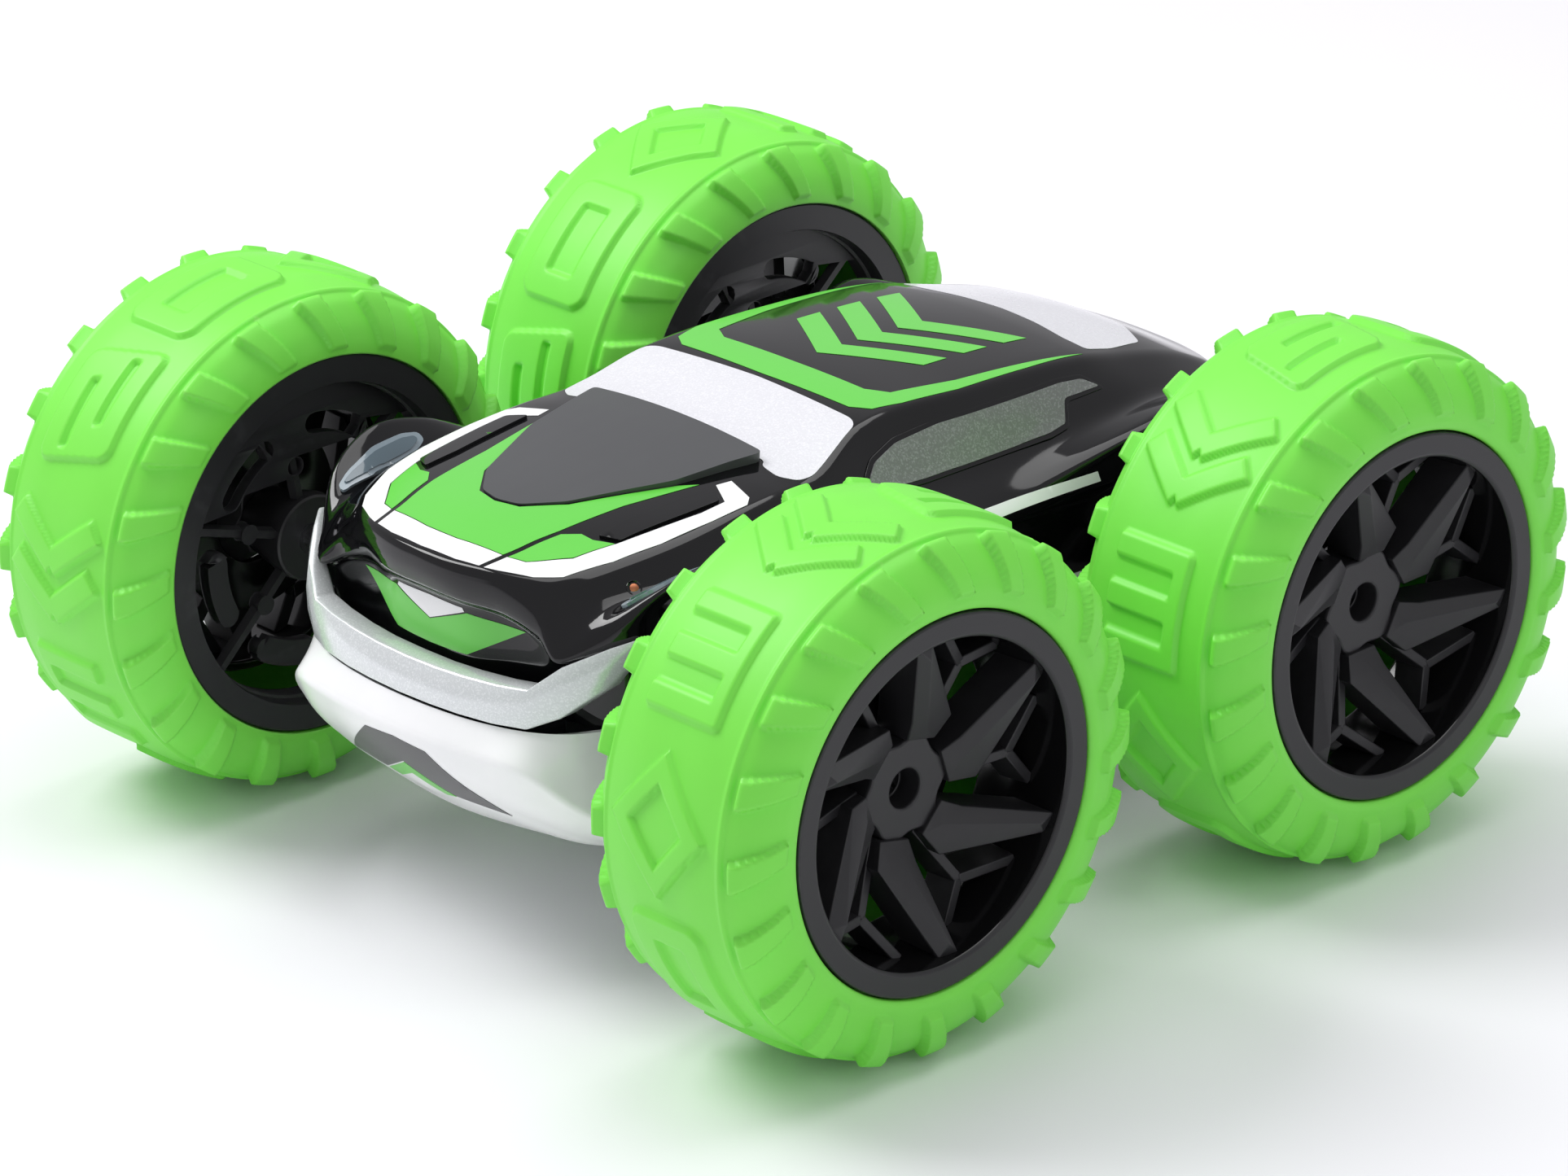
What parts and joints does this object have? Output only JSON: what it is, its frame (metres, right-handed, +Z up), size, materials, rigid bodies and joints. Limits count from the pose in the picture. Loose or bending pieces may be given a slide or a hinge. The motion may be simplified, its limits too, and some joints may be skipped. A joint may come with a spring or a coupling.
{
  "type": "rc stunt car",
  "caption": "Two-sided radio-controlled stunt car: low sports-car body between fat ribbed tyres, one motor and gear train driving each side's wheels.",
  "frame": {"origin": "on the ground, midway between the four wheels", "axes": "+Z up; the nose points to -Y; +X is the car's left side"},
  "size_m": [0.2086, 0.2176, 0.1],
  "materials": {
    "tyre_rubber": "satin",
    "rim_plastic": "satin",
    "shell_black": "polished",
    "shell_white": "polished",
    "scoop_grey": "satin",
    "window_grey": "satin",
    "lamp_clear": "polished",
    "frame_plastic": "satin",
    "gear_nylon": "satin",
    "steel": "satin",
    "brass": "satin",
    "battery_wrap": "satin",
    "board_green": "satin"
  },
  "bodies": {
    "body": {"battery_pack": "battery_wrap", "bonnet_scoop": "scoop_grey", "chassis_frame": "frame_plastic", "circuit_board": "board_green", "front_bumper": "shell_white", "gearbox_cover_left": "frame_plastic", "gearbox_cover_right": "frame_plastic", "gearbox_housing_left": "frame_plastic", "gearbox_housing_right": "frame_plastic", "headlamp_left": "lamp_clear", "headlamp_right": "lamp_clear", "lower_shell": "shell_white", "motor_left": "steel", "motor_right": "steel", "rear_bumper": "shell_white", "side_window_left": "window_grey", "side_window_right": "window_grey", "switch_body": "steel", "upper_shell": "shell_black"},
    "wheel_fl": {"axle_fl": "steel", "axle_gear_fl": "gear_nylon", "rim_inner_fl": "rim_plastic", "rim_outer_fl": "rim_plastic", "tyre_fl": "tyre_rubber", "wheel_screw_fl": "steel"},
    "wheel_rl": {"axle_gear_rl": "gear_nylon", "axle_rl": "steel", "rim_inner_rl": "rim_plastic", "rim_outer_rl": "rim_plastic", "tyre_rl": "tyre_rubber", "wheel_screw_rl": "steel"},
    "wheel_fr": {"axle_fr": "steel", "axle_gear_fr": "gear_nylon", "rim_inner_fr": "rim_plastic", "rim_outer_fr": "rim_plastic", "tyre_fr": "tyre_rubber", "wheel_screw_fr": "steel"},
    "wheel_rr": {"axle_gear_rr": "gear_nylon", "axle_rr": "steel", "rim_inner_rr": "rim_plastic", "rim_outer_rr": "rim_plastic", "tyre_rr": "tyre_rubber", "wheel_screw_rr": "steel"},
    "double_gear_left": {"double_gear_left": "gear_nylon"},
    "idler_front_left": {"idler_gear_front_left": "gear_nylon"},
    "idler_rear_left": {"idler_gear_rear_left": "gear_nylon"},
    "pinion_left": {"pinion_left": "brass"},
    "double_gear_right": {"double_gear_right": "gear_nylon"},
    "idler_front_right": {"idler_gear_front_right": "gear_nylon"},
    "idler_rear_right": {"idler_gear_rear_right": "gear_nylon"},
    "pinion_right": {"pinion_right": "brass"},
    "door": {"battery_door": "shell_white"},
    "switch": {"power_switch": "frame_plastic"}
  },
  "joints": [
    {"name": "wheel_spin_fl", "type": "hinge", "parent": "body", "child": "wheel_fl", "pos_m": [0.0825, -0.0588, 0.05], "axis": [1, 0, 0], "continuous": true},
    {"name": "wheel_spin_rl", "type": "hinge", "parent": "body", "child": "wheel_rl", "pos_m": [0.0825, 0.0588, 0.05], "axis": [1, 0, 0], "continuous": true},
    {"name": "wheel_spin_fr", "type": "hinge", "parent": "body", "child": "wheel_fr", "pos_m": [-0.0825, -0.0588, 0.05], "axis": [1, 0, 0], "continuous": true},
    {"name": "wheel_spin_rr", "type": "hinge", "parent": "body", "child": "wheel_rr", "pos_m": [-0.0825, 0.0588, 0.05], "axis": [1, 0, 0], "continuous": true},
    {"name": "double_gear_left_spin", "type": "hinge", "parent": "body", "child": "double_gear_left", "pos_m": [0.0315, 0, 0.05], "axis": [1, 0, 0], "continuous": true},
    {"name": "idler_front_left_spin", "type": "hinge", "parent": "body", "child": "idler_front_left", "pos_m": [0.0315, -0.0294, 0.05], "axis": [1, 0, 0], "continuous": true},
    {"name": "idler_rear_left_spin", "type": "hinge", "parent": "body", "child": "idler_rear_left", "pos_m": [0.0315, 0.0294, 0.05], "axis": [1, 0, 0], "continuous": true},
    {"name": "pinion_left_spin", "type": "hinge", "parent": "body", "child": "pinion_left", "pos_m": [0.0315, 0.01917, 0.05894], "axis": [1, 0, 0], "continuous": true},
    {"name": "double_gear_right_spin", "type": "hinge", "parent": "body", "child": "double_gear_right", "pos_m": [-0.0315, 0, 0.05], "axis": [1, 0, 0], "continuous": true},
    {"name": "idler_front_right_spin", "type": "hinge", "parent": "body", "child": "idler_front_right", "pos_m": [-0.0315, -0.0294, 0.05], "axis": [1, 0, 0], "continuous": true},
    {"name": "idler_rear_right_spin", "type": "hinge", "parent": "body", "child": "idler_rear_right", "pos_m": [-0.0315, 0.0294, 0.05], "axis": [1, 0, 0], "continuous": true},
    {"name": "pinion_right_spin", "type": "hinge", "parent": "body", "child": "pinion_right", "pos_m": [-0.0315, -0.01917, 0.05894], "axis": [1, 0, 0], "continuous": true},
    {"name": "battery_door_slide", "type": "slide", "parent": "body", "child": "door", "axis": [0, 1, 0], "range_m": [0, 0.008]},
    {"name": "power_switch_slide", "type": "slide", "parent": "body", "child": "switch", "axis": [0, 1, 0], "range_m": [0, 0.003]}
  ],
  "couplings": [
    {"joint": "double_gear_left_spin", "follows": "wheel_spin_fl", "ratio": 1},
    {"joint": "idler_front_left_spin", "follows": "wheel_spin_fl", "ratio": -0.75},
    {"joint": "idler_rear_left_spin", "follows": "wheel_spin_fl", "ratio": -0.75},
    {"joint": "pinion_left_spin", "follows": "wheel_spin_fl", "ratio": -2.5},
    {"joint": "wheel_spin_rl", "follows": "wheel_spin_fl", "ratio": 1},
    {"joint": "double_gear_right_spin", "follows": "wheel_spin_fr", "ratio": 1},
    {"joint": "idler_front_right_spin", "follows": "wheel_spin_fr", "ratio": -0.75},
    {"joint": "idler_rear_right_spin", "follows": "wheel_spin_fr", "ratio": -0.75},
    {"joint": "pinion_right_spin", "follows": "wheel_spin_fr", "ratio": -2.5},
    {"joint": "wheel_spin_rr", "follows": "wheel_spin_fr", "ratio": 1}
  ]
}
